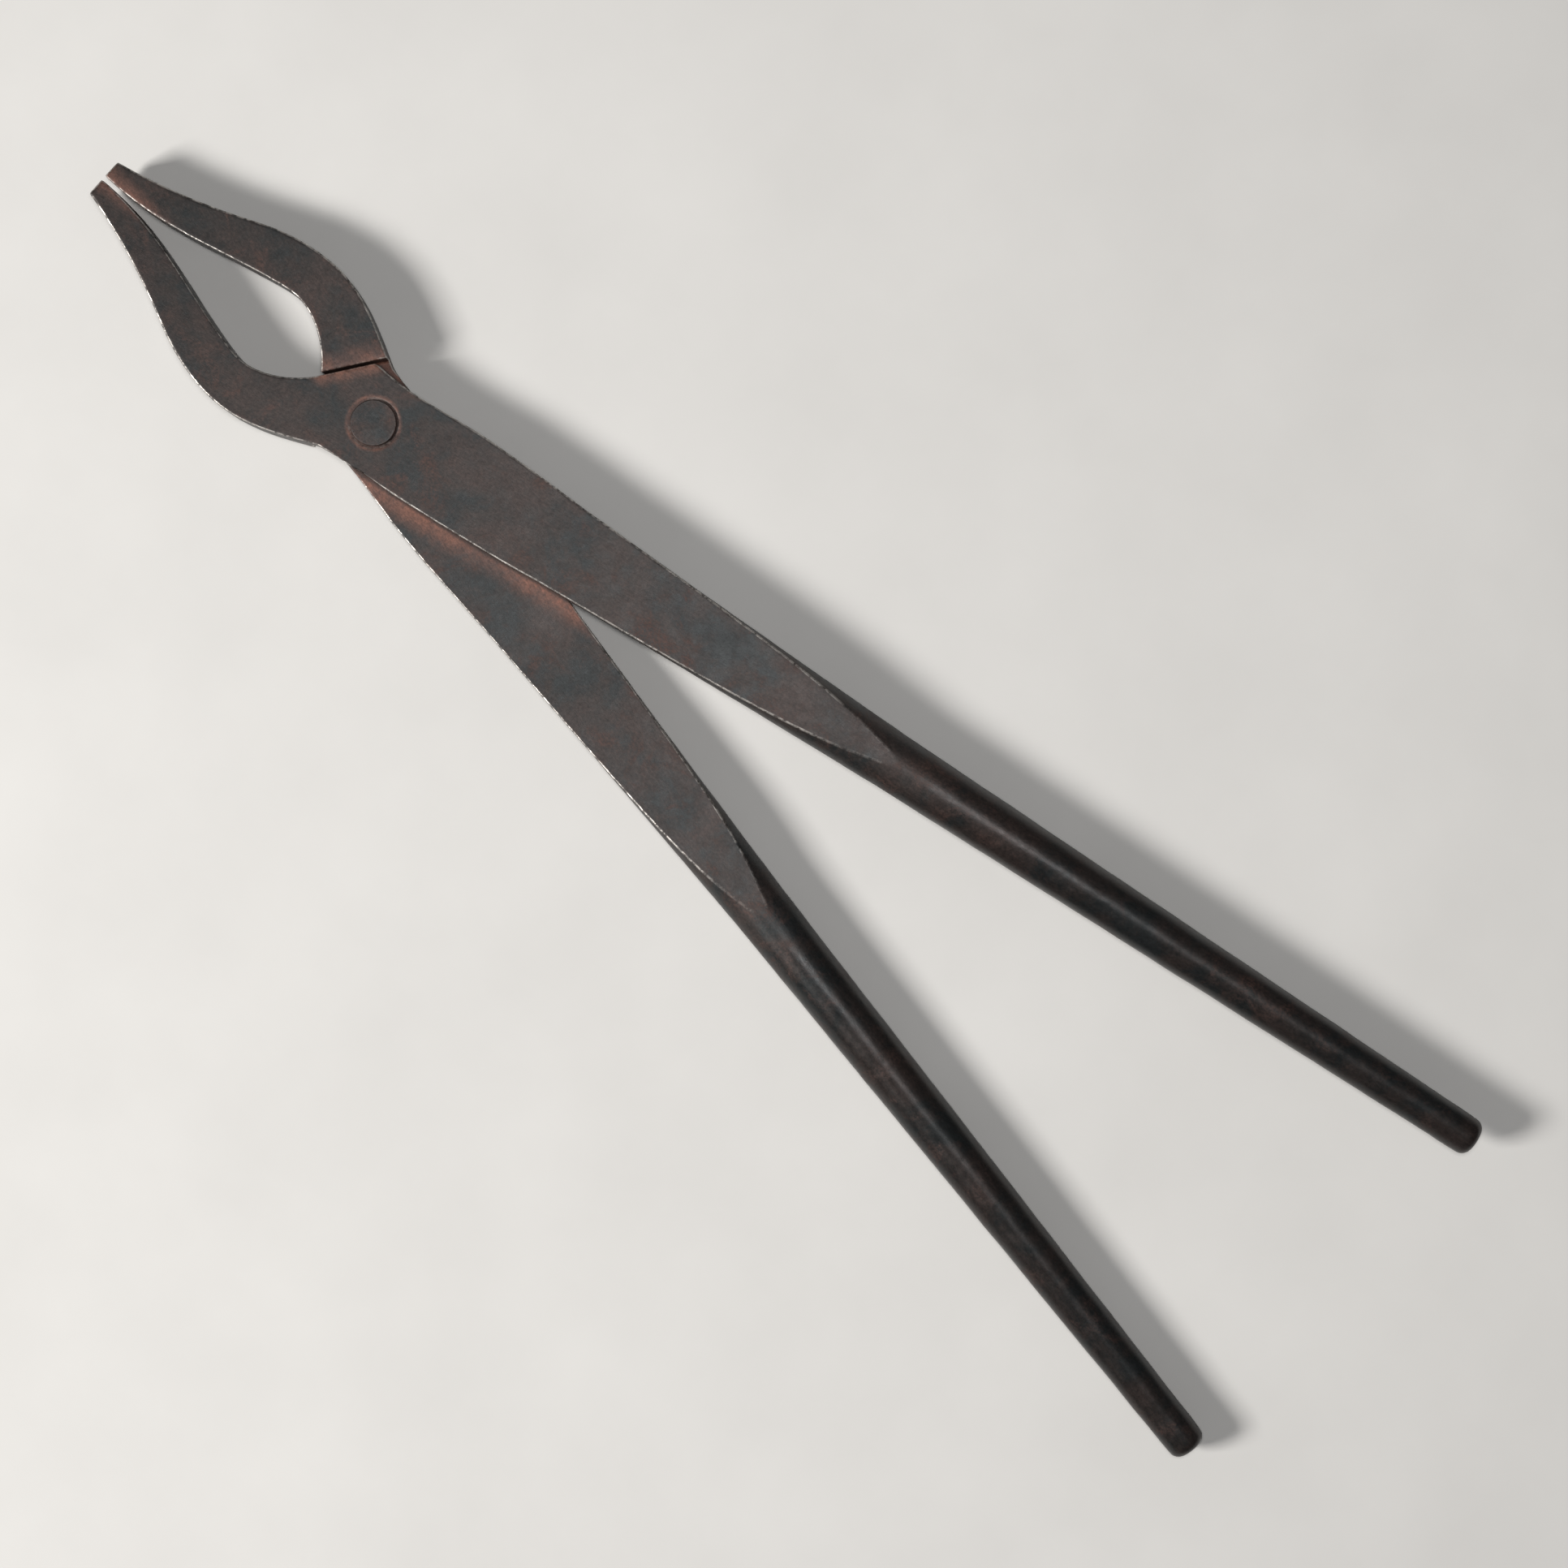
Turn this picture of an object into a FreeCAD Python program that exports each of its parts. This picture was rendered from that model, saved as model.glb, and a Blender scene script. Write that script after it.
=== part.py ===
"""Forged blacksmith tongs: two equal halves, one turned over, crossing on a rivet.

World frame: Z is the rivet's axis, the origin is on it at the flat end of the rivet's lower head, and +X
runs along the tongs from the rivet towards the rein ends. A half is modelled along its own rein: u runs from
the rivet towards the rein's end, v across it, the jaw bows out to -v, the outer face looks towards +Z, and
the lap plane, where the two bosses meet, is at zero height.
"""

import FreeCAD, Part
import os

import Sketcher

Vector = FreeCAD.Vector
Rotation = FreeCAD.Rotation
X_AXIS = Vector(1, 0, 0)
Y_AXIS = Vector(0, 1, 0)
Z_AXIS = Vector(0, 0, 1)

# Driving dimensions, in millimetres and degrees.
SIZES = {
    # each rein's angle to the tongs' axis as they lie
    "half_angle": 9.2,
    # corners of a half's plan outline
    "tip_outer_u": -100.3,
    "tip_outer_v": 10.3,
    "tip_bite_u": -99.5,
    "tip_bite_v": 15.6,
    "shoulder_u": -19.3,
    "shoulder_v": 3.4,
    "crown_u": -8.4,
    "crown_v": 14.4,
    "crown_fillet": 1.5,
    "heel_u": -9.4,
    "heel_v": -13.5,
    "root_end": 60.0,
    # the outer face is one plane, this high above the lap plane at the jaw's tip and at the rein's arch
    "tip_at": 100.0,
    "tip_height": 5.2,
    "arch_at": 172.7,
    "arch_height": 10.15,
    # the rein: round from the arch to its end, and widening from the arch back to the boss
    "axis_height": 2.0,
    "arch_radius": 8.15,
    "widening": 0.0255,
    "flare": 0.0000845,
    "flat_fade": 22.0,
    "end_at": 361.5,
    "end_radius": 5.4,
    "end_fillet": 3.0,
    # the half lap: its gap to the lap plane, its wall across the jaw, and where the inner face slopes away
    "lap_gap": 0.05,
    "wall_at": 16.65,
    "wall_turn": 26.3,
    "kick_at": 78.0,
    # the rivet and the seats and holes it runs in
    "shank_radius": 4.5,
    "running_gap": 0.05,
    "head_radius": 6.55,
    "head_height": 0.95,
    "head_bevel": 0.3,
    "seat_height": 6.8,
    "seat_radius": 6.75,
    # tool solids reach this far from the rivet, past every face of the forging
    "reach": 240.0,
}

# Points that the forged edges pass through between their corners, as (u, v).
JAW_BITE = (
    (-91.8, 14.25),
    (-84.7, 12.4),
    (-71.7, 7.7),
    (-59.9, 2.4),
    (-48.0, -2.7),
    (-39.6, -5.2),
    (-31.0, -4.0),
)
ROOT_OUTWARD = ((0.5, 13.1), (22.0, 13.5), (42.0, 13.1))
ROOT_INWARD = ((42.0, -13.1), (16.0, -13.6))
JAW_BACK = ((-22.5, -17.5), (-34.5, -19.3), (-46.5, -17.5), (-58.0, -12.75), (-70.3, -4.95), (-86.4, 4.1))

# Two places closer than this are the same place.
NEAR = 0.01

# Stations of the flat-to-round stretch, as shares of its length back from the arch.
ROUND_STATIONS = (0.0, 0.03, 0.07, 0.12, 0.18, 0.25, 0.33, 0.43, 0.55, 0.7, 0.85, 1.0)

FACE_SLOPE = "(Sizes.arch_height - Sizes.tip_height) / (Sizes.arch_at + Sizes.tip_at)"


def face_height(u):
    """The outer face's height above the lap plane at u, as an expression."""
    return f"(Sizes.tip_height + {FACE_SLOPE} * ({u} + Sizes.tip_at))"


def half_width(u):
    """The rein's half width at u between boss and arch, as an expression."""
    back = f"(Sizes.arch_at - {u})"
    return f"(Sizes.arch_radius + Sizes.widening * {back} + Sizes.flare * {back}^2)"


def make_sheet(doc):
    """The spreadsheet that every size is read from."""
    sheet = doc.addObject("Spreadsheet::Sheet", "Sizes")
    for row, (alias, value) in enumerate(SIZES.items(), start=1):
        sheet.set(f"A{row}", alias)
        sheet.set(f"B{row}", f"{value:.7f}")
        sheet.setAlias(f"B{row}", alias)
    doc.recompute()
    return sheet


def bind(item, expressions):
    """Bind an object's properties to expressions on the sheet."""
    for path, expression in expressions.items():
        item.setExpression(path, expression)
    return item


def closed_sketch(doc, name, corners, through=None):
    """A closed outline with its corners tied to the sheet, and a straight or splined edge between each two.

    corners holds (x expression, y expression); through holds in-between points by the edge they belong to.
    """
    sketch = doc.addObject("Sketcher::SketchObject", name)
    points = [Vector(*(float(doc.Sizes.evalExpression(part)) for part in corner)) for corner in corners]
    count = len(points)
    for index, start in enumerate(points):
        end = points[(index + 1) % count]
        between = (through or {}).get(index)
        if between:
            edge = Part.BSplineCurve()
            edge.interpolate([start, *(Vector(*point) for point in between), end])
        else:
            edge = Part.LineSegment(start, end)
        sketch.addGeometry(edge)
    for index, (corner, point) in enumerate(zip(corners, points)):
        sketch.addConstraint(Sketcher.Constraint("Coincident", (index - 1) % count, 2, index, 1))
        for kind, expression, value in zip(("DistanceX", "DistanceY"), corner, (point.x, point.y)):
            constraint = sketch.addConstraint(Sketcher.Constraint(kind, -1, 1, index, 1, value))
            sketch.setExpression(f"Constraints[{constraint}]", expression)
    return sketch


def prism(doc, name, sketch, direction):
    """A solid prism that reaches equally far to both sides of its closed sketch."""
    solid = doc.addObject("Part::Extrusion", name)
    solid.Base = sketch
    solid.DirMode = "Custom"
    solid.Dir = direction
    solid.Solid = True
    solid.Symmetric = True
    return bind(solid, {"LengthFwd": "2 * Sizes.reach"})


def side_prism(doc, name, corners):
    """A prism across the tongs, from corners given as (u, z) expressions."""
    sketch = closed_sketch(doc, f"{name}_outline", corners)
    sketch.Placement.Rotation = Rotation(X_AXIS, 90)
    return prism(doc, name, sketch, Y_AXIS)


def boolean(doc, kind, name, base, tool):
    """The Fuse, Cut or Common of two solids."""
    solid = doc.addObject(f"Part::{kind}", name)
    solid.Base = base
    solid.Tool = tool
    solid.Refine = True
    return solid


def round_edges(doc, name, base, radius, chosen):
    """Round the base's edges for which chosen(edge) is true."""
    doc.recompute()
    rounded = doc.addObject("Part::Fillet", name)
    rounded.Base = base
    edges = enumerate(base.Shape.Edges, start=1)
    rounded.Edges = [(number, radius, radius) for number, edge in edges if chosen(edge)]
    return rounded


def plan_prism(doc, name):
    """Jaw, boss and rein root as seen from above, taller than the forging."""
    jaw_corners = ("tip_outer", "tip_bite", "shoulder", "crown")
    corners = [(f"Sizes.{corner}_u", f"Sizes.{corner}_v") for corner in jaw_corners]
    corners.append(("Sizes.root_end", half_width("Sizes.root_end")))
    corners.append(("Sizes.root_end", f"-{half_width('Sizes.root_end')}"))
    corners.append(("Sizes.heel_u", "Sizes.heel_v"))
    through = {1: JAW_BITE, 3: ROOT_OUTWARD, 5: ROOT_INWARD, 6: JAW_BACK}
    sketch = closed_sketch(doc, f"{name}_plan_outline", corners, through)
    plan = prism(doc, f"{name}_plan", sketch, Z_AXIS)
    crown = Vector(doc.Sizes.crown_u, doc.Sizes.crown_v, 0)

    def at_crown(edge):
        start = edge.Vertexes[0].Point
        return Vector(start.x, start.y, 0).isEqual(crown, NEAR) and is_upright(edge)

    return round_edges(doc, f"{name}_crowned", plan, doc.Sizes.crown_fillet, at_crown)


def is_upright(edge):
    """Whether an edge's two ends stand one above the other."""
    start, end = edge.Vertexes[0].Point, edge.Vertexes[-1].Point
    return Vector(start.x, start.y, 0).isEqual(Vector(end.x, end.y, 0), NEAR)


def round_over(doc, name):
    """The rein from its flat root to its round section: a loft of upright ellipses into a circle."""
    sections = []
    for number, share in enumerate(ROUND_STATIONS):
        back = f"({share} * (Sizes.arch_at - Sizes.root_end))"
        station = f"(Sizes.arch_at - {back})"
        # the flat takes this share of the width, and the ellipse's height follows from it
        flat_share = f"(1 - exp(-{back} / Sizes.flat_fade))"
        tall = f"({face_height(station)} - Sizes.axis_height) / sqrt(1 - {flat_share}^2)"
        section = doc.addObject("Part::Ellipse", f"{name}_section_{number}")
        section.Placement.Rotation = Rotation(Z_AXIS, -Y_AXIS, X_AXIS, "ZXY")
        sizes = {
            "MajorRadius": f"max({half_width(station)}; {tall})",
            "MinorRadius": f"min({half_width(station)}; {tall})",
            "Placement.Base.x": station,
            "Placement.Base.z": "Sizes.axis_height",
        }
        sections.append(bind(section, sizes))
    loft = doc.addObject("Part::Loft", f"{name}_round_over")
    loft.Sections = sections
    loft.Solid = True
    loft.Ruled = True
    return loft


def faces_prism(doc, name):
    """Everything between the outer face and its mirror image below, drawn in to the rein's underside."""
    far = "-Sizes.reach / 2"
    corners = [
        (far, face_height(far)),
        (far, f"-{face_height(far)}"),
        ("0", f"-{face_height('0')}"),
        ("Sizes.arch_at", "2 * Sizes.axis_height - Sizes.arch_height"),
        ("Sizes.arch_at", "Sizes.arch_height"),
    ]
    return side_prism(doc, f"{name}_faces", corners)


def lap_cutter(doc, name):
    """What the half lap takes away: all below the inner face, from the wall across the jaw to the arch."""
    floor = "-Sizes.reach / 4"
    corners = [
        ("-Sizes.reach / 4", floor),
        ("Sizes.arch_at", floor),
        ("Sizes.arch_at", "2 * Sizes.axis_height - Sizes.arch_height"),
        ("Sizes.kick_at", "Sizes.lap_gap"),
        ("-Sizes.reach / 4", "Sizes.lap_gap"),
    ]
    below = side_prism(doc, f"{name}_below", corners)
    beyond = doc.addObject("Part::Box", f"{name}_beyond_wall")
    beyond.Placement.Rotation = Rotation(Z_AXIS, doc.Sizes.wall_turn)
    turn = "Sizes.wall_turn * 1 deg"
    sizes = {
        "Length": "2 * Sizes.reach",
        "Width": "2 * Sizes.reach",
        "Height": "2 * Sizes.reach",
        "Placement.Base.x": f"-Sizes.wall_at * cos({turn}) + Sizes.reach * sin({turn})",
        "Placement.Base.y": f"-Sizes.wall_at * sin({turn}) - Sizes.reach * cos({turn})",
        "Placement.Base.z": "-Sizes.reach",
    }
    bind(beyond, sizes)
    return boolean(doc, "Common", f"{name}_lap", below, beyond)


def cylinder(doc, name, radius, low, height):
    """An upright cylinder on the rivet's axis."""
    solid = doc.addObject("Part::Cylinder", name)
    return bind(solid, {"Radius": radius, "Height": height, "Placement.Base.z": low})


def rein(doc, name):
    """The round tapering rein from the arch to its blunt end."""
    cone = doc.addObject("Part::Cone", f"{name}_rein")
    cone.Placement.Rotation = Rotation(Y_AXIS, 90)
    sizes = {
        "Radius1": "Sizes.arch_radius",
        "Radius2": "Sizes.end_radius",
        "Height": "Sizes.end_at - Sizes.arch_at",
        "Placement.Base.x": "Sizes.arch_at",
        "Placement.Base.z": "Sizes.axis_height",
    }
    bind(cone, sizes)
    end_at = doc.Sizes.end_at

    def at_end(edge):
        return edge.BoundBox.XMin > end_at - NEAR

    return round_edges(doc, f"{name}_blunt_rein", cone, doc.Sizes.end_fillet, at_end)


def forge_half(doc, label):
    """One half of the tongs: a single forging of jaw, boss, flat root and rein."""
    bar = boolean(doc, "Fuse", f"{label}_bar", plan_prism(doc, label), round_over(doc, label))
    flattened = boolean(doc, "Common", f"{label}_flattened", bar, faces_prism(doc, label))
    lapped = boolean(doc, "Cut", f"{label}_lapped", flattened, lap_cutter(doc, label))
    drawn = boolean(doc, "Fuse", f"{label}_drawn", lapped, rein(doc, label))
    hole_radius = "Sizes.shank_radius + Sizes.running_gap"
    hole = cylinder(doc, f"{label}_hole", hole_radius, "-Sizes.reach", "2 * Sizes.reach")
    seat = cylinder(doc, f"{label}_seat", "Sizes.seat_radius", "Sizes.seat_height", "Sizes.reach")
    drilled = boolean(doc, "Cut", f"{label}_drilled", drawn, hole)
    half = boolean(doc, "Cut", f"{label}_half", drilled, seat)
    half.Label = label
    return half


def make_rivet(doc, label):
    """The rivet: a shank with a low flat head on each side, turned in one profile about Z.

    The lower head bears on its seat, and the upper one has running clearance.
    """
    body = doc.addObject("PartDesign::Body", label)
    lower = "Sizes.head_height"
    upper = "(2 * Sizes.seat_height + Sizes.head_height + Sizes.running_gap)"
    bevelled = "Sizes.head_radius - Sizes.head_bevel"
    corners = [
        ("0", "0"),
        (bevelled, "0"),
        ("Sizes.head_radius", "Sizes.head_bevel"),
        ("Sizes.head_radius", lower),
        ("Sizes.shank_radius", lower),
        ("Sizes.shank_radius", upper),
        ("Sizes.head_radius", upper),
        ("Sizes.head_radius", f"{upper} + Sizes.head_height - Sizes.head_bevel"),
        (bevelled, f"{upper} + Sizes.head_height"),
        ("0", f"{upper} + Sizes.head_height"),
    ]
    profile = closed_sketch(doc, "rivet_profile", corners)
    body.addObject(profile)
    upright = next(item for item in body.Origin.OriginFeatures if item.Role == "XZ_Plane")
    profile.AttachmentSupport = (upright, [""])
    profile.MapMode = "FlatFace"
    turned = body.newObject("PartDesign::Revolution", "rivet_turned")
    turned.Profile = profile
    turned.ReferenceAxis = (profile, ["V_Axis"])
    body.Tip = turned
    return body


def place_halves(doc, top_half, bottom_half):
    """Turn the upper half to its rein's angle, and turn the lower one over to the opposite angle."""
    half_angle = doc.Sizes.half_angle
    lap = Vector(0, 0, doc.Sizes.seat_height + doc.Sizes.head_height)
    top_half.Placement = FreeCAD.Placement(lap, Rotation(Z_AXIS, half_angle))
    turned_over = Rotation(Z_AXIS, -half_angle).multiply(Rotation(X_AXIS, 180))
    bottom_half.Placement = FreeCAD.Placement(lap, turned_over)


def check(doc, pieces):
    """Stop if an object failed to compute or a piece isn't one valid solid."""
    for item in doc.Objects:
        if "Invalid" in item.State or "Error" in item.State:
            raise RuntimeError(f"{item.Name}: {item.State}")
    for piece in pieces:
        shape = piece.Shape
        if shape.isNull() or not shape.isValid() or len(shape.Solids) != 1:
            raise RuntimeError(f"{piece.Label} isn't one valid solid")
        print(f"{piece.Label}: {shape.Volume:.0f} mm3, {shape.BoundBox}")


def main():
    doc = FreeCAD.newDocument("tongs")
    make_sheet(doc)
    top_half = forge_half(doc, "top_half")
    bottom_half = forge_half(doc, "bottom_half")
    rivet = make_rivet(doc, "rivet")
    place_halves(doc, top_half, bottom_half)
    doc.recompute()
    pieces = (top_half, bottom_half, rivet)
    check(doc, pieces)
    os.makedirs("parts", exist_ok=True)
    for piece in pieces:
        piece.Shape.exportStep(f"parts/{piece.Label}.step")


main()
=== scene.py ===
import math

import bpy
import numpy as np
from mathutils import Matrix, Vector, noise
from mathutils.bvhtree import BVHTree
from mathutils.kdtree import KDTree


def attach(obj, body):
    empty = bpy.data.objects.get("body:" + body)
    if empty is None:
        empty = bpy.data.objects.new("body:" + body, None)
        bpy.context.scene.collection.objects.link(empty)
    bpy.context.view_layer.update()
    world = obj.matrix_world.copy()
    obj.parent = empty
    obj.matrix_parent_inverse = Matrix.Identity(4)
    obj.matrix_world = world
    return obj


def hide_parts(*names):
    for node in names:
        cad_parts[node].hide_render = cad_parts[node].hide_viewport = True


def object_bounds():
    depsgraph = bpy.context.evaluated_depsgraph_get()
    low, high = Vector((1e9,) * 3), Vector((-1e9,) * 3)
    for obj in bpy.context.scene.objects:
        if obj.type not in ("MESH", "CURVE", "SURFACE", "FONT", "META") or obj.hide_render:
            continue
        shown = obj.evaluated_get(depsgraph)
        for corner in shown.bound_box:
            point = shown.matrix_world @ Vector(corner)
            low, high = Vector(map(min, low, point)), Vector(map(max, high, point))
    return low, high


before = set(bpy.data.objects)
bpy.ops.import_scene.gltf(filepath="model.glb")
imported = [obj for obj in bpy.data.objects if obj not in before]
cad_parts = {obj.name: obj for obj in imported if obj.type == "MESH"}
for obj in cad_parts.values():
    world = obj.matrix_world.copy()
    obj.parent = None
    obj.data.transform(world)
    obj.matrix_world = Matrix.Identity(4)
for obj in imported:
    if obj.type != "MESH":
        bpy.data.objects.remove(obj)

cad_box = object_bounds()

MM = 0.001
SMOOTH_TURN = math.radians(19)  # two normals that differ by less belong to one smooth surface
EDGE_STEP = 0.2 * MM  # between the points that stand for a sharp edge
SHORT_EDGE = 0.1 * MM  # a shorter piece of an edge is left out
LOW_STEP = 0.15 * MM  # a step in the surface that is lower than this gets no worn edge
WELD = 0.001 * MM  # mesh points that are closer than this are one place

# The skin's cells: long along a half's rein, and narrow across it.
HALF_CELL = 0.42 * MM
HALF_STRETCH = 1.75
RIVET_CELL = 0.16 * MM

# How much each kind of wear takes off. All of it goes inwards, so the skin stays inside the CAD solid.
# A size is how wide one dent, ripple or pit is, or how far apart an edge's changes lie.
HALF_WEAR = {
    "edge": 0.42 * MM,
    "edge_change": 0.22 * MM,
    "edge_size": 5 * MM,
    "dent": 0.1 * MM,
    "dent_size": 11 * MM,
    "ripple": 0.025 * MM,
    "ripple_size": 2.2 * MM,
    "pit": 0.05 * MM,
    "pit_size": 2.6 * MM,
}
RIVET_WEAR = {
    "edge": 0.24 * MM,
    "edge_change": 0.2 * MM,
    "edge_size": 2.5 * MM,
    "dent": 0.11 * MM,
    "dent_size": 4.5 * MM,
    "ripple": 0.02 * MM,
    "ripple_size": 1.2 * MM,
    "pit": 0.03 * MM,
    "pit_size": 1.5 * MM,
}
PIT_RADIUS = 0.3  # as a share of the size of the cell that the pit is in
PIT_CHANCE = 0.3  # a cell holds a pit where its random number, from -1 to 1, is above this

# Beside an edge, each point moves this share of the way to its neighbours' middle, this many times. The
# share fades out over the reach, which is in edge radii.
RELAX_SHARE = 0.35
RELAX_REACH = 2.5
RELAX_TURNS = 2

# One step of the seed moves a pattern by this much: noise and pits in cells, a material's in metres.
NOISE_STEP = Vector((17.3, 5.9, 11.1))
PIT_STEP = Vector((7.7, 3.1, 13.9))
MATERIAL_STEP = Vector((0.37, 0.11, 0))

REIN_END = 2 * MM  # the length of rein whose middle stands for its end

# Guards against division by zero.
LEAST_LENGTH = 1e-12
LEAST_AREA = 1e-30


# ---- Reading a CAD solid ----

def read_array(items, name, width, kind=np.float32):
    """One property of every item in a mesh's list, as rows of that many numbers."""
    values = np.empty(len(items) * width, kind)
    items.foreach_get(name, values)
    return values.reshape(-1, width)


def read_solid(node):
    """A CAD node's mesh as arrays: its points, its triangles, and at each triangle's corners the number
    of the place, which touching triangles share, and the surface's normal."""
    mesh = node.data
    mesh.calc_loop_triangles()
    points = read_array(mesh.vertices, "co", 3).astype(float)
    triangles = read_array(mesh.loop_triangles, "vertices", 3, np.int32)
    loops = read_array(mesh.loop_triangles, "loops", 3, np.int32)
    places = np.unique(np.round(points / WELD), axis=0, return_inverse=True)[1].ravel()[triangles]
    normals = read_array(mesh.corner_normals, "vector", 3).astype(float)[loops]
    normals = join_seams(places, normals)
    return {"points": points, "triangles": triangles, "places": places, "normals": normals}


def join_seams(places, normals):
    """Evens out the normals that meet at one place with a small turn, as at a seam of a round surface."""
    corners = places.ravel()
    rows = normals.reshape(-1, 3)
    even = rows.copy()
    order = np.argsort(corners, kind="stable")
    for group in np.split(order, np.flatnonzero(np.diff(corners[order])) + 1):
        alike = rows[group] @ rows[group].T > math.cos(SMOOTH_TURN)
        even[group] = unit(alike @ rows[group])
    return even.reshape(normals.shape)


def solid_tree(solid):
    return BVHTree.FromPolygons(solid["points"].tolist(), solid["triangles"].tolist())


def rows_dot(a, b):
    """The dot product of each row with its partner, as one column."""
    return np.sum(a * b, axis=-1, keepdims=True)


def unit(rows):
    """Each row at length 1."""
    lengths = np.linalg.norm(rows, axis=-1, keepdims=True)
    return rows / np.maximum(lengths, LEAST_LENGTH)


def turning_edges(solid):
    """Points along every edge where the surface turns, each with the edge's direction and the normals of
    its two surfaces. The convex edges come first, then the hollow ones."""
    triangles = solid["points"][solid["triangles"]]
    flats = unit(np.cross(triangles[:, 1] - triangles[:, 0], triangles[:, 2] - triangles[:, 0]))
    sides = {}
    for corners, places, normals, flat in zip(triangles, solid["places"], solid["normals"], flats):
        for k in range(3):
            following = (k + 1) % 3
            key = tuple(sorted((places[k], places[following])))
            normal = unit(normals[k] + normals[following])
            side = (corners[k], corners[following], corners[k - 1], normal, flat)
            sides.setdefault(key, []).append(side)
    convex, hollow = [], []
    for pair in sides.values():
        if len(pair) != 2:
            continue
        (start, end, _, first, first_flat), (_, _, opposite, second, second_flat) = pair
        length = np.linalg.norm(end - start)
        is_sharp = max(np.dot(first, second), np.dot(first_flat, second_flat)) < math.cos(SMOOTH_TURN)
        if length < SHORT_EDGE or not is_sharp:
            continue
        rows = convex if np.dot(first, opposite - start) < 0 else hollow
        count = max(int(length / EDGE_STEP), 1)
        for share in (np.arange(count) + 0.5) / count:
            rows.append((start + share * (end - start), unit(end - start), first, second))
    return np.array(convex), np.array(hollow)


def sharp_edges(solid):
    """The convex edges, apart from those of a step too low to see, which have a hollow edge beside them."""
    convex, hollow = turning_edges(solid)
    tree = point_tree(hollow[:, 0])
    return convex[[tree.find(place)[2] > LOW_STEP for place in convex[:, 0]]]


def point_tree(places):
    tree = KDTree(len(places))
    for row, place in enumerate(places):
        tree.insert(place, row)
    tree.balance()
    return tree


# ---- The skin ----

def voxel_skin(solid, cell, turn, stretch):
    """A closed mesh of even cells over the solid, stretched along a line that lies at that turn about Z."""
    to_cells = Matrix.Diagonal((1 / stretch, 1, 1, 1)) @ Matrix.Rotation(-turn, 4, "Z")
    rough = bpy.data.meshes.new("rough")
    rough.from_pydata(solid["points"].tolist(), [], solid["triangles"].tolist())
    rough.transform(to_cells)
    holder = bpy.data.objects.new("rough", rough)
    bpy.context.scene.collection.objects.link(holder)
    remesh = holder.modifiers.new("Skin", "REMESH")
    remesh.mode = "VOXEL"
    remesh.voxel_size = cell
    skin = bpy.data.meshes.new_from_object(holder.evaluated_get(bpy.context.evaluated_depsgraph_get()))
    skin.transform(to_cells.inverted())
    bpy.data.objects.remove(holder)
    bpy.data.meshes.remove(rough)
    return skin


def corner_shares(places, corners):
    """How much of each triangle corner a point on the triangle takes, as three shares."""
    a, b = corners[:, 1] - corners[:, 0], corners[:, 2] - corners[:, 0]
    c = places - corners[:, 0]
    aa, ab, bb = rows_dot(a, a), rows_dot(a, b), rows_dot(b, b)
    ca, cb = rows_dot(c, a), rows_dot(c, b)
    area = np.maximum(aa * bb - ab * ab, LEAST_AREA)
    second = (bb * ca - ab * cb) / area
    third = (aa * cb - ab * ca) / area
    shares = np.clip(np.hstack((1 - second - third, second, third)), 0, 1)
    return shares / shares.sum(axis=1, keepdims=True)


def settle(points, solid):
    """The nearest place to each point on the solid's curved surface, read between its flat triangles."""
    tree = solid_tree(solid)
    hits = [tree.find_nearest(p) for p in points.tolist()]
    places = np.array([hit[0] for hit in hits])
    faces = np.array([hit[2] for hit in hits])
    corners = solid["points"][solid["triangles"][faces]]
    normals = solid["normals"][faces]
    shares = corner_shares(places, corners)[..., None]
    away = places[:, None] - corners
    on_tangents = places[:, None] - rows_dot(away, normals) * normals
    curved = np.sum(shares * on_tangents, axis=1)
    return (places + curved) / 2  # halfway matches a round surface between two facets


def noise_at(points, size, seed):
    """Smooth noise from -1 to 1 at each point, with lumps of that size."""
    shift = seed * NOISE_STEP
    return np.array([noise.noise(Vector(p) / size + shift) for p in points.tolist()])


def pits_at(points, size, seed):
    """Scattered round pits: 1 in the middle of a pit, and 0 away from it. Some of the cells hold none."""
    shift = seed * PIT_STEP
    spread = 7.1  # so that each pit's centre reads a random number of its own
    depths = []
    for p in points.tolist():
        distances, centres = noise.voronoi(Vector(p) / size + shift)
        holds_pit = noise.cell(centres[0] * spread) > PIT_CHANCE
        depths.append(max(0.0, 1 - distances[0] / PIT_RADIUS) if holds_pit else 0.0)
    return np.array(depths)


def nearest_edges(points, edges):
    """For each point, the nearest sharp-edge point, and the way and the distance from its piece of edge."""
    tree = point_tree(edges[:, 0])
    rows = np.array([tree.find(p)[1] for p in points.tolist()])
    near = edges[rows]
    across = points - near[:, 0]
    across -= np.clip(rows_dot(across, near[:, 1]), -EDGE_STEP, EDGE_STEP) * near[:, 1]
    return near, across, np.linalg.norm(across, axis=1)


def round_edges(points, edges, wear, seed):
    """Lays the points beside a sharp edge on a round of uneven radius that touches both surfaces."""
    near, across, distance = nearest_edges(points, edges)
    radius = wear["edge"] + wear["edge_change"] * noise_at(near[:, 0], wear["edge_size"], seed)
    radius = radius[:, None]
    cosine = rows_dot(near[:, 2], near[:, 3])
    centre = -(near[:, 2] + near[:, 3]) * radius / (1 + cosine)
    reach = radius * np.sqrt((1 - cosine) / (1 + cosine))
    arm = across - centre
    on_round = centre + unit(arm) * radius
    is_near = (distance[:, None] < reach) & (np.linalg.norm(arm, axis=1, keepdims=True) > radius)
    return np.where(is_near, points - across + on_round, points), distance, np.arccos(cosine[:, 0])


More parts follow.
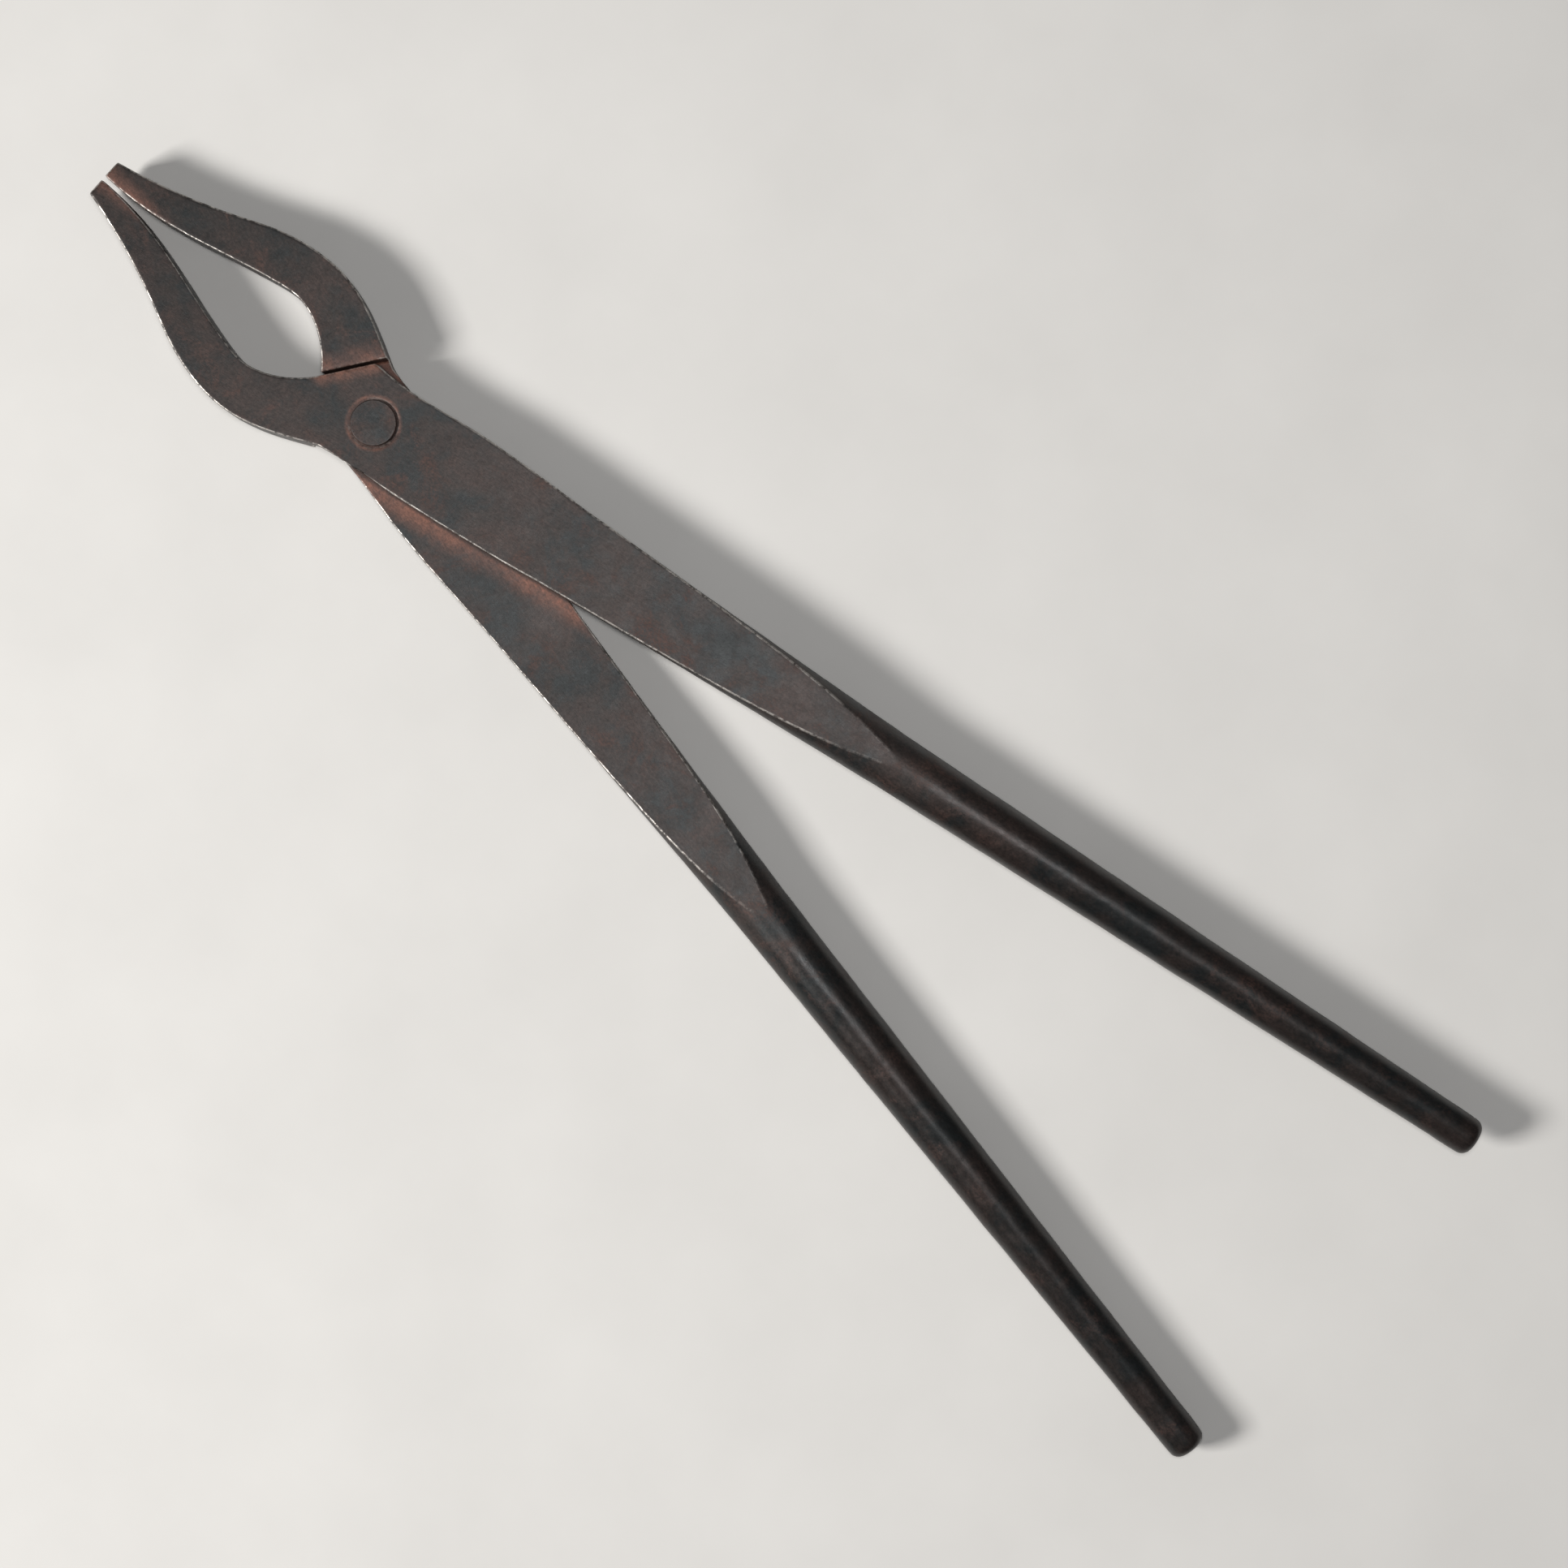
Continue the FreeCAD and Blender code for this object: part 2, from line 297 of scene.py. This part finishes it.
def relax(points, links, share, turns):
    """Moves each point towards the middle of its neighbours, by its own share, a few times."""
    ends = np.concatenate((links[:, 0], links[:, 1]))
    others = np.concatenate((links[:, 1], links[:, 0]))
    count = np.bincount(ends, minlength=len(points))[:, None]
    for _ in range(turns):
        sums = [np.bincount(ends, points[others, k], len(points)) for k in range(3)]
        middle = np.stack(sums, axis=1) / np.maximum(count, 1)
        points = points + share[:, None] * (middle - points)
    return points


def set_attribute(mesh, name, values):
    mesh.attributes.new(name, "FLOAT", "POINT").data.foreach_set("value", values.astype(np.float32))


def distance_to(points, solid):
    """How far each point is from the solid's surface."""
    tree = solid_tree(solid)
    return np.array([tree.find_nearest(p)[3] for p in points.tolist()])


def make_forging(name, node, body, cell, wear, seed, turn=0.0, stretch=1.0):
    """One forging's skin, in place of its CAD node. Its attributes give the distance to a sharp edge, how
    far that edge turns as a share of a right angle, and the distance to each neighbour."""
    solid = solids[node]
    skin = voxel_skin(solid, cell, turn, stretch)
    points = settle(read_array(skin.vertices, "co", 3).astype(float), solid)
    points, edge_distance, edge_turn = round_edges(points, sharp_edges(solid), wear, seed)
    links = read_array(skin.edges, "vertices", 2, np.int32)
    fade = np.exp(-(edge_distance / (RELAX_REACH * wear["edge"])) ** 2)
    points = relax(points, links, RELAX_SHARE * fade, RELAX_TURNS)
    skin.vertices.foreach_set("co", points.astype(np.float32).ravel())
    skin.update()
    normals = read_array(skin.vertices, "normal", 3).astype(float)
    depth = wear["dent"] * (1 + noise_at(points, wear["dent_size"], seed + 1))
    depth += wear["ripple"] * (1 + noise_at(points, wear["ripple_size"], seed + 2))
    depth += wear["pit"] * pits_at(points, wear["pit_size"], seed + 3)
    points = points - depth[:, None] * normals
    skin.vertices.foreach_set("co", points.astype(np.float32).ravel())
    set_attribute(skin, "edge_mm", edge_distance / MM)
    set_attribute(skin, "edge_turn", edge_turn / math.radians(90))
    for neighbour in solids.keys() - {node}:
        set_attribute(skin, neighbour + "_mm", distance_to(points, solids[neighbour]) / MM)
    skin.materials.clear()
    skin.shade_smooth()
    skin.update()
    piece = bpy.data.objects.new(name, skin)
    bpy.context.scene.collection.objects.link(piece)
    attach(piece, body)
    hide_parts(node)
    return piece


def rein_angle(node):
    """The angle about Z of a half's rein, from the rivet's axis to the middle of the rein's end."""
    points = solids[node]["points"]
    end = points[points[:, 0] > points[:, 0].max() - REIN_END].mean(axis=0)
    return math.atan2(end[1], end[0])


# ---- Materials ----

def srgb(red, green, blue):
    """A colour as a screen shows it, from 11 to 255, as the linear colour that a shader takes."""
    return tuple(((level / 255 + 0.055) / 1.055) ** 2.4 for level in (red, green, blue)) + (1,)


SCALE_COOL = srgb(34, 37, 38)
SCALE_MIDDLE = srgb(47, 41, 39)
SCALE_WARM = srgb(55, 45, 42)
RUST_DARK = srgb(55, 40, 36)
RUST_LIGHT = srgb(78, 55, 48)
RUST_FRESH = srgb(124, 82, 67)
# Painted shade, put in the narrow gaps beside a neighbour.
GAP_SHADE_PAINT = srgb(17, 14, 13)
BARE_EDGE = srgb(206, 200, 194)

# Where each begins along a half, from the rivet, and where it is full. Hands polish a rein; the coat grows
# darker and less bumpy towards the rein's end, and darker towards the jaw tips.
POLISHED = (172 * MM, 192 * MM)
REIN_END_FADE = (150 * MM, 230 * MM)
JAW_TIP_FADE = (-30 * MM, -80 * MM)

GRAIN_TURN = math.radians(40)  # from the rein's direction to that of the fine grain
GRAIN_STRETCH = 0.25
SCALE_ROUGHNESS = (0.41, 0.51)  # where the blotches are dark, and where they are light
SCALE_METALLIC = 0.3
RELIEF_DEPTH = 0.09 * MM
FAR_MM = 1000.0  # farther than any neighbour


class Shader:
    """Adds shader nodes to one material. An input is a socket to link or a plain value."""

    def __init__(self, name):
        self.material = bpy.data.materials.new(name)
        self.material.use_nodes = True
        self.tree = self.material.node_tree
        self.tree.nodes.clear()

    def add(self, kind, inputs=None, **settings):
        node = self.tree.nodes.new(kind)
        for key, value in settings.items():
            setattr(node, key, value)
        for key, value in (inputs or {}).items():
            if isinstance(value, bpy.types.NodeSocket):
                self.tree.links.new(value, node.inputs[key])
            else:
                node.inputs[key].default_value = value
        return node

    def mapping(self, place, **changes):
        return self.add("ShaderNodeMapping", {"Vector": place} | changes).outputs[0]

    def math(self, operation, a, b=0.0, clamp=False):
        return self.add("ShaderNodeMath", {0: a, 1: b}, operation=operation, use_clamp=clamp).outputs[0]

    def remap(self, value, low, high, to_low=0.0, to_high=1.0):
        """The value moved from the range low..high to the range to_low..to_high, eased at both ends."""
        inputs = {"Value": value, "From Min": low, "From Max": high, "To Min": to_low, "To Max": to_high}
        return self.add("ShaderNodeMapRange", inputs, interpolation_type="SMOOTHSTEP").outputs["Result"]

    def noise(self, place, size_mm, detail=4.0, roughness=0.55, distortion=0.0):
        inputs = {"Vector": place, "Scale": 1 / (size_mm * MM), "Detail": detail,
                  "Roughness": roughness, "Distortion": distortion}
        return self.add("ShaderNodeTexNoise", inputs).outputs["Fac"]

    def mix(self, share, a, b, blend="MIX"):
        node = self.add("ShaderNodeMix", data_type="RGBA", blend_type=blend)
        for socket, value in ((node.inputs[0], share), (node.inputs[6], a), (node.inputs[7], b)):
            if isinstance(value, bpy.types.NodeSocket):
                self.tree.links.new(value, socket)
            else:
                socket.default_value = value
        return node.outputs[2]

    def ramp(self, value, stops):
        node = self.add("ShaderNodeValToRGB", {"Fac": value})
        ramp = node.color_ramp
        while len(ramp.elements) < len(stops):
            ramp.elements.new(1.0)
        for element, (place, colour) in zip(ramp.elements, stops):
            element.position = place
            element.color = colour
        return node.outputs["Color"]

    def attribute(self, name):
        return self.add("ShaderNodeAttribute", attribute_name=name).outputs["Fac"]

    def less(self, value, share):
        """1 where the value is 0, and less by that share where it is 1."""
        return self.math("SUBTRACT", 1.0, self.math("MULTIPLY", value, share))

    def finish(self, inputs):
        """Ends the material with a Principled shader that takes these inputs."""
        surface = self.add("ShaderNodeBsdfPrincipled", inputs)
        self.add("ShaderNodeOutputMaterial", {"Surface": surface.outputs[0]})


def fresh_rust(s, clouds, blotches, rust_reach):
    """How much fresh rust grows beside the neighbours, and the gap to the nearest one in millimetres.
    rust_reach holds how many millimetres the rust reaches from each neighbour."""
    near, gap = 0.0, FAR_MM
    for neighbour, reach in rust_reach.items():
        distance = s.attribute(neighbour + "_mm")
        near = s.math("MAXIMUM", near, s.remap(distance, reach, 0.0))
        gap = s.math("MINIMUM", gap, distance)
    near = s.math("MULTIPLY", near, s.remap(clouds, 0.36, 0.58, 0.5, 1.0))
    near = s.math("MULTIPLY", near, s.remap(blotches, 0.36, 0.6, 0.55, 1.0), clamp=True)
    return near, gap


def bare_edges(s, place, gap, edge_share):
    """How bare the iron is worn: broken lines along the sharp edges, except close to a neighbour."""
    broken = s.remap(s.noise(place, size_mm=1.8, detail=6, roughness=0.75), 0.4, 0.58, 0.08, 1.0)
    worn = s.math("MULTIPLY", s.remap(s.attribute("edge_mm"), 0.62, 0.2), broken, clamp=True)
    worn = s.math("MULTIPLY", worn, s.remap(s.attribute("edge_turn"), 0.4, 0.95, 0.08, edge_share))
    return s.math("MULTIPLY", worn, s.remap(gap, 0.7, 2.0, 0.1, 1.0))


def coat_shade(s, grain, speckle, rise, rein, jaw):
    """What the coat's colour is multiplied by: painted shade on the side walls, a darkening towards the
    rein's end and towards the jaw tips, and unevenness all over."""
    shade = s.remap(grain, 0.25, 0.75, 0.75, 1.25)
    shade = s.math("MULTIPLY", shade, s.remap(speckle, 0.25, 0.75, 0.55, 1.45))
    shade = s.math("MULTIPLY", shade, s.less(rein, 0.4))
    shade = s.math("MULTIPLY", shade, s.less(jaw, 0.25))
    # Painted shade: where the normal lies near the level, as on the side walls, the colour falls to half.
    shade = s.math("MULTIPLY", shade, s.remap(rise, 0.1, 0.95, 0.5, 1.0))
    return s.add("ShaderNodeCombineColor", {0: shade, 1: shade, 2: shade}).outputs[0]


def iron_material(name, shift, turn, rust_reach, edge_share=1.0):
    """Forged iron: dark mottled scale, clouds of rust, fresh rust beside the neighbours, and bare worn
    edges. The shift moves the pattern, turn is the rein's angle about Z, and edge_share is how bare the
    sharpest edges get."""
    s = Shader(name)
    axes = s.add("ShaderNodeTexCoord").outputs
    place = s.mapping(axes["Object"], Location=shift, Rotation=(0, 0, -turn))
    streaks = s.mapping(place, Rotation=(0, 0, GRAIN_TURN), Scale=(GRAIN_STRETCH, 1, 1))
    clouds = s.noise(place, size_mm=17, detail=7, roughness=0.6, distortion=0.5)
    blotches = s.noise(place, size_mm=5, detail=8, roughness=0.72)
    grain = s.noise(streaks, size_mm=0.5, detail=4, roughness=0.7)
    speckle = s.noise(place, size_mm=0.9, detail=5, roughness=0.8)

    along = s.math("SUBTRACT", s.add("ShaderNodeSeparateXYZ", {0: place}).outputs["X"], shift[0])
    rein = s.remap(along, *REIN_END_FADE)
    # How nearly the normal points up or down; it is low on the side walls and sets their painted shade.
    rise = s.math("ABSOLUTE", s.add("ShaderNodeSeparateXYZ", {0: axes["Normal"]}).outputs["Z"])

    tone = s.math("ADD", s.math("MULTIPLY", clouds, 0.65), s.math("MULTIPLY", blotches, 0.35))
    scale = s.ramp(tone, ((0.42, SCALE_COOL), (0.5, SCALE_MIDDLE), (0.59, SCALE_WARM)))
    rust_field = s.noise(place, size_mm=13, detail=8, roughness=0.68, distortion=0.8)
    rust_share = s.math("MULTIPLY", s.remap(rust_field, 0.5, 0.66), s.remap(speckle, 0.36, 0.6, 0.1, 0.9))
    coat = s.mix(rust_share, scale, s.mix(blotches, RUST_DARK, RUST_LIGHT))
    near, gap = fresh_rust(s, clouds, blotches, rust_reach)
    coat = s.mix(near, coat, RUST_FRESH)
    # Painted shade: the coat darkens towards this colour where a neighbour is closer than 1 mm.
    coat = s.mix(s.remap(gap, 1.0, 0.2, 0.0, 0.7), coat, GAP_SHADE_PAINT)
    shade = coat_shade(s, grain, speckle, rise, rein, s.remap(along, *JAW_TIP_FADE))
    coat = s.mix(1.0, coat, shade, "MULTIPLY")
    worn = bare_edges(s, place, gap, edge_share)
    colour = s.mix(worn, coat, BARE_EDGE)

    polish = s.math("MULTIPLY", s.remap(along, *POLISHED), 0.12)
    roughness = s.math("SUBTRACT", s.remap(blotches, 0.3, 0.7, *SCALE_ROUGHNESS), polish)
    roughness = s.math("ADD", roughness, s.math("MULTIPLY", s.math("MAXIMUM", rust_share, near), 0.14))
    roughness = s.math("SUBTRACT", roughness, s.math("MULTIPLY", worn, 0.14), clamp=True)
    metallic = s.math("ADD", SCALE_METALLIC, s.math("MULTIPLY", worn, 0.65))
    metallic = s.math("SUBTRACT", metallic, s.math("MULTIPLY", near, 0.25), clamp=True)

    relief = s.math("ADD", s.math("MULTIPLY", grain, 0.5), s.math("MULTIPLY", speckle, 0.6))
    relief = s.math("ADD", relief, s.math("MULTIPLY", blotches, 0.8))
    strength = s.math("SUBTRACT", 0.7, s.math("MULTIPLY", rein, 0.35))
    inputs = {"Height": relief, "Strength": strength, "Distance": RELIEF_DEPTH}
    bump = s.add("ShaderNodeBump", inputs).outputs[0]
    s.finish({"Base Color": colour, "Roughness": roughness, "Metallic": metallic, "Normal": bump})
    return s.material


def floor_material():
    """Pale matt paper with a very faint mottle."""
    s = Shader("studio_floor")
    coords = s.add("ShaderNodeTexCoord").outputs["Object"]
    mottle = s.noise(coords, size_mm=60, detail=5)
    colour = s.ramp(mottle, ((0.3, srgb(214, 212, 209)), (0.7, srgb(220, 218, 215))))
    s.finish({"Base Color": colour, "Roughness": 0.85})
    return s.material


# ---- The studio ----

VIEW_CENTRE = Vector((149.8, 2.5, 0)) * MM  # below the camera
TOP_FACE = 14.75 * MM  # the upper boss's face
CAMERA_HEIGHT = 1000 * MM  # above the top face
VIEW_WIDTH = 429.7 * MM  # what the picture spans at the top face
CAMERA_TURN = math.radians(42.27)
FLOOR_SIZE = 8.0  # metres


def add_camera():
    camera = bpy.data.objects.new("camera", bpy.data.cameras.new("camera"))
    camera.location = VIEW_CENTRE + Vector((0, 0, TOP_FACE + CAMERA_HEIGHT))
    camera.rotation_euler = (0, 0, CAMERA_TURN)
    camera.data.angle = 2 * math.atan(VIEW_WIDTH / 2 / CAMERA_HEIGHT)
    camera.data.clip_start = 0.01
    bpy.context.scene.collection.objects.link(camera)
    bpy.context.scene.camera = camera


def add_softbox(name, azimuth, elevation, distance, size, power, colour):
    """A square light that faces the view's centre. The azimuth is as the camera sees it: 0 right, 90 up."""
    turn = CAMERA_TURN + math.radians(azimuth)
    rise = math.radians(elevation)
    away = Vector((math.cos(turn) * math.cos(rise), math.sin(turn) * math.cos(rise), math.sin(rise)))
    light = bpy.data.objects.new(name, bpy.data.lights.new(name, "AREA"))
    light.location = VIEW_CENTRE + away * distance
    light.rotation_euler = away.to_track_quat("Z", "Y").to_euler()
    light.data.size = size
    light.data.energy = power
    light.data.color = colour
    light.visible_camera = False
    bpy.context.scene.collection.objects.link(light)


def add_floor(height):
    half = FLOOR_SIZE / 2
    corners = [(-half, -half, 0), (half, -half, 0), (half, half, 0), (-half, half, 0)]
    mesh = bpy.data.meshes.new("floor")
    mesh.from_pydata(corners, [], [(0, 1, 2, 3)])
    mesh.materials.append(floor_material())
    floor = bpy.data.objects.new("floor", mesh)
    floor.location = (VIEW_CENTRE.x, VIEW_CENTRE.y, height)
    bpy.context.scene.collection.objects.link(floor)


def add_world(strength):
    world = bpy.data.worlds.new("studio")
    world.use_nodes = True
    background = world.node_tree.nodes["Background"]
    background.inputs["Color"].default_value = srgb(236, 238, 240)
    background.inputs["Strength"].default_value = strength
    bpy.context.scene.world = world


add_camera()
solids = {name: read_solid(node) for name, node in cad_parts.items()}

# For each half: its piece, its CAD node, its body, the rust's reach from its neighbours in mm, and its seed.
HALVES = (
    ("top_forging", "top_half", "upper_half", {"bottom_half": 5.0, "rivet": 1.8}, 1),
    ("bottom_forging", "bottom_half", "lower_half", {"top_half": 7.0, "rivet": 1.8}, 5),
)
for name, node, body, rust_reach, seed in HALVES:
    turn = rein_angle(node)
    forging = make_forging(name, node, body, HALF_CELL, HALF_WEAR, seed, turn, HALF_STRETCH)
    forging.data.materials.append(iron_material(name + "_iron", seed * MATERIAL_STEP, turn, rust_reach))
rivet = make_forging("rivet_forging", "rivet", "lower_half", RIVET_CELL, RIVET_WEAR, seed=9)
rivet_shift = (0.9, 0.4, 0)
rivet_coat = iron_material("rivet_forging_iron", rivet_shift, 0.0, {"top_half": 1.0}, edge_share=0.5)
rivet.data.materials.append(rivet_coat)

add_floor(cad_box[0].z)
add_world(strength=0.10)
add_softbox("key", azimuth=193, elevation=40, distance=2.0, size=0.5, power=40, colour=(1.0, 0.985, 0.96))
add_softbox("top", azimuth=90, elevation=88, distance=1.1, size=0.12, power=4.0, colour=(1.0, 1.0, 1.0))
bpy.context.scene.view_settings.view_transform = "Standard"
